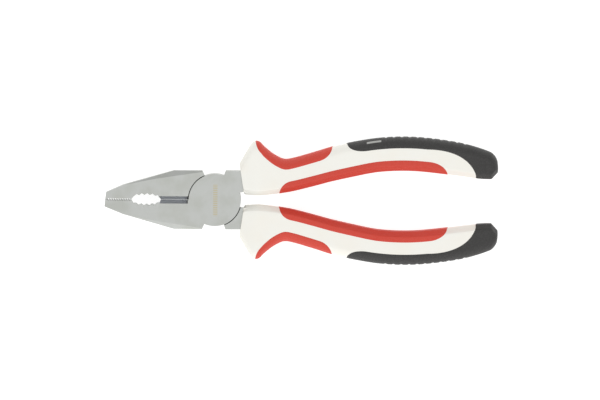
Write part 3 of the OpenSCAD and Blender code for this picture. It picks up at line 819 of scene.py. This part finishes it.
def moulded_shell(name, colours):
    """Polypropylene, injection-moulded in a spark-eroded mould: a satin white whose fine even
    grain breaks up the gloss, with a faint warm cast that varies over the part."""
    tree, place = new_material(name)
    patches = add_node(tree, "ShaderNodeTexNoise",
                       {"Vector": place, "Scale": 1 / SHELL_PATCH, "Detail": 2.0})
    warm = inside(tree, [(patches, *WARM_PATCHES)])
    tone = painted(tree, colours.shell, [(warm, 1.0, colours.warm_shell)])
    grain = add_node(tree, "ShaderNodeTexNoise",
                     {"Vector": place, "Scale": 1 / SHELL_GRAIN, "Detail": 2.0})
    roughness = add_node(tree, "ShaderNodeMapRange",
                         {"Value": grain, "To Min": 0.36, "To Max": 0.5})
    bump = add_node(tree, "ShaderNodeBump",
                    {"Height": grain, "Strength": 0.3, "Distance": SHELL_GRAIN_DEPTH})
    finish_material(tree, {"Base Color": tone, "Roughness": roughness, "IOR": 1.49,
                           "Normal": bump})


def soft_rubber(name, base, worn, grain_size, ink=None):
    """Thermoplastic elastomer, moulded over the shell: a matt skin with a pebbled grain, a little
    paler on the grain's tops and in patches. With an ink, a plain bar is printed on the upper
    grip."""
    tree, place = new_material(name)
    patches = add_node(tree, "ShaderNodeTexNoise",
                       {"Vector": place, "Scale": 1 / RUBBER_PATCH, "Detail": 3.0})
    grain = add_node(tree, "ShaderNodeTexVoronoi",
                     {"Vector": place, "Scale": 1 / grain_size}, feature="SMOOTH_F1")
    tops = inside(tree, [(grain, *GRAIN_TOPS)])
    tone = painted(tree, base, [(tops, 0.45, worn), (patches, 0.35, worn)])
    if ink is not None:
        along = add_node(tree, "ShaderNodeSeparateXYZ", {0: place}).outputs
        from_bar = offset_from(tree, place, BAR_CENTRE)
        bar = inside(tree, [(from_bar[0], *BAR_HALF_LENGTH),
                            (from_bar[2], *BAR_HALF_HEIGHT),
                            (along[1], *UPPER_GRIP)])
        tone = painted(tree, tone, [(bar, 1.0, ink)])
    roughness = add_node(tree, "ShaderNodeMapRange",
                         {"Value": grain, "From Max": 0.6, "To Min": 0.52, "To Max": 0.66})
    bump = add_node(tree, "ShaderNodeBump",
                    {"Height": tops, "Strength": 0.35, "Distance": RUBBER_GRAIN_DEPTH})
    finish_material(tree, {"Base Color": tone, "Roughness": roughness, "IOR": 1.5,
                           "Normal": bump})


def studio_floor(name, colours, glow):
    """A pale matt sheet over a light table, whose glow keeps the shadows faint."""
    tree, place = new_material(name)
    clouds = add_node(tree, "ShaderNodeTexNoise", {"Vector": place, "Scale": 1 / FLOOR_CLOUD})
    tone = painted(tree, colours.floor, [(clouds, 1.0, colours.floor_shade)])
    finish_material(tree, {"Base Color": tone, "Roughness": 0.9,
                           "Emission Color": (1.0, 1.0, 1.0, 1.0), "Emission Strength": glow})


def material_of(name, build, *arguments):
    """The material of that name, built first if there is none yet."""
    if name not in bpy.data.materials:
        build(name, *arguments)
    return bpy.data.materials[name]


# ---------------------------------------------------------------------------------------------
# Operators


class PLIERS_OT_arms(bpy.types.Operator):
    """Give the two forged arms and the rivet their ground steel finish"""

    bl_idname = "pliers.arms"
    bl_label = "Forged arms and rivet"

    def execute(self, context):
        steel = material_of("ground_chrome_vanadium_steel", ground_steel,
                            context.scene.pliers_finishes)
        for name in ("front_arm", "rear_arm", "pivot_rivet"):
            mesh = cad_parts[name].data
            mesh.materials.clear()
            mesh.materials.append(steel)
        return {"FINISHED"}


class PLIERS_OT_shells(bpy.types.Operator):
    """Build the hard white shell of each grip"""

    bl_idname = "pliers.shells"
    bl_label = "Hard shells"

    def execute(self, context):
        scene = context.scene
        rings = shell_rings(Grip(scene.pliers_grip), scene.pliers_zones)
        material = material_of("moulded_white_polypropylene", moulded_shell,
                               scene.pliers_finishes)
        faces = tube_faces(*rings.shape[:2])
        for level, body, side in SIDES:
            make_piece(level + "_hard_shell", rings, faces, side, body,
                       level + "_grip_core", material)
        return {"FINISHED"}


class PLIERS_OT_pads(bpy.types.Operator):
    """Build the red thumb pad and finger pad of each grip"""

    bl_idname = "pliers.pads"
    bl_label = "Thumb and finger pads"

    def execute(self, context):
        scene = context.scene
        colours = scene.pliers_finishes
        grip = Grip(scene.pliers_grip)
        material = material_of("overmoulded_red_elastomer", soft_rubber,
                               colours.pads, colours.worn_pads, PAD_GRAIN)
        for kind, build in (("thumb", thumb_patch), ("finger", finger_patch)):
            patch = build(grip, scene.pliers_zones)
            faces = shell_faces(*patch.shape[1:3], open_rows=patch.shape[1])
            for level, body, side in SIDES:
                make_piece(f"{level}_{kind}_rubber", patch, faces, side, body,
                           f"{level}_{kind}_pad", material)
        return {"FINISHED"}


class PLIERS_OT_covers(bpy.types.Operator):
    """Build the ribbed black heel cover of each grip"""

    bl_idname = "pliers.covers"
    bl_label = "Heel covers"

    def execute(self, context):
        scene = context.scene
        colours = scene.pliers_finishes
        patch, open_rows = cover_patch(Grip(scene.pliers_grip), scene.pliers_zones)
        faces = shell_faces(*patch.shape[1:3], open_rows=open_rows)
        material = material_of("overmoulded_black_elastomer", soft_rubber,
                               colours.covers, colours.worn_covers, COVER_GRAIN, colours.ink)
        for level, body, side in SIDES:
            make_piece(level + "_heel_rubber", patch, faces, side, body,
                       level + "_heel_cover", material)
        return {"FINISHED"}


def softbox(name, place, target, size, radiance):
    """A square area light of a given brightness, aimed at the target."""
    light = bpy.data.lights.new(name, "AREA")
    light.size = size
    light.energy = radiance * math.pi * size**2
    lamp = bpy.data.objects.new(name, light)
    lamp.location = place
    lamp.rotation_euler = (target - lamp.location).to_track_quat("-Z", "Y").to_euler()
    lamp.visible_camera = False
    bpy.context.scene.collection.objects.link(lamp)


class PLIERS_OT_studio(bpy.types.Operator):
    """Add the floor, the lights and the camera"""

    bl_idname = "pliers.studio"
    bl_label = "Floor, lights and camera"

    # All in metres
    FLOOR_HALF_SIZE = 3.0
    OVERHEAD_PLACE, OVERHEAD_SIZE = (0.0, -0.2, 2.4), 2.4
    SIDE_PLACE, SIDE_SIZE = (0.1, -2.0, 1.3), 2.0

    def execute(self, context):
        scene = context.scene
        studio = scene.pliers_studio
        target = Vector((studio.view_centre, studio.view_rise, studio.focus_height))

        size = self.FLOOR_HALF_SIZE
        corners = [(a * size, b * size, CAD_BOX[0].z)
                   for a, b in ((-1, -1), (1, -1), (1, 1), (-1, 1))]
        mesh = bpy.data.meshes.new("floor")
        mesh.from_pydata(corners, [], [(0, 1, 2, 3)])
        mesh.materials.append(material_of("matt_light_table", studio_floor,
                                          scene.pliers_finishes, studio.table))
        floor = bpy.data.objects.new("floor", mesh)
        scene.collection.objects.link(floor)

        softbox("overhead_softbox", self.OVERHEAD_PLACE, target, self.OVERHEAD_SIZE,
                studio.overhead)
        softbox("side_softbox", self.SIDE_PLACE, target, self.SIDE_SIZE, studio.side)
        world = bpy.data.worlds.new("studio_walls")
        world.use_nodes = True
        world.node_tree.nodes.clear()
        walls = add_node(world.node_tree, "ShaderNodeBackground",
                         {"Color": (1.0, 1.0, 1.0, 1.0), "Strength": studio.walls})
        add_node(world.node_tree, "ShaderNodeOutputWorld", {"Surface": walls})
        scene.world = world
        scene.view_settings.view_transform = "Standard"

        camera = bpy.data.cameras.new("camera")
        camera.lens = camera.sensor_width * studio.distance / studio.view_width
        eye = bpy.data.objects.new("camera", camera)
        eye.rotation_euler = (-studio.tilt, 0, studio.roll)
        eye.location = (target.x, target.y + studio.distance * math.sin(studio.tilt),
                        target.z + studio.distance * math.cos(studio.tilt))
        scene.collection.objects.link(eye)
        scene.camera = eye
        return {"FINISHED"}


OPERATORS = (PLIERS_OT_arms, PLIERS_OT_shells, PLIERS_OT_pads, PLIERS_OT_covers, PLIERS_OT_studio)
GROUPS = {"pliers_grip": GripSizes, "pliers_zones": ZoneSizes, "pliers_finishes": Finishes,
          "pliers_studio": StudioSizes}


class PLIERS_PT_panel(bpy.types.Panel):
    """Sizes, colours and building steps of the pliers"""

    bl_idname = "PLIERS_PT_panel"
    bl_label = "Combination pliers"
    bl_space_type = "VIEW_3D"
    bl_region_type = "UI"
    bl_category = "Pliers"

    def draw(self, context):
        for operator in OPERATORS:
            self.layout.operator(operator.bl_idname)
        for name, group in GROUPS.items():
            box = self.layout.box()
            for setting in group.__annotations__:
                box.prop(getattr(context.scene, name), setting)


CLASSES = (*GROUPS.values(), *OPERATORS, PLIERS_PT_panel)


def register():
    for cls in CLASSES:
        bpy.utils.register_class(cls)
    for name, group in GROUPS.items():
        setattr(bpy.types.Scene, name, bpy.props.PointerProperty(type=group))


def unregister():
    for name in GROUPS:
        delattr(bpy.types.Scene, name)
    for cls in reversed(CLASSES):
        bpy.utils.unregister_class(cls)


def main():
    """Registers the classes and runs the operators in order."""
    register()
    for operator in OPERATORS:
        group, name = operator.bl_idname.split(".")
        getattr(getattr(bpy.ops, group), name)()
    bpy.context.view_layer.update()


if __name__ == "__main__":
    main()
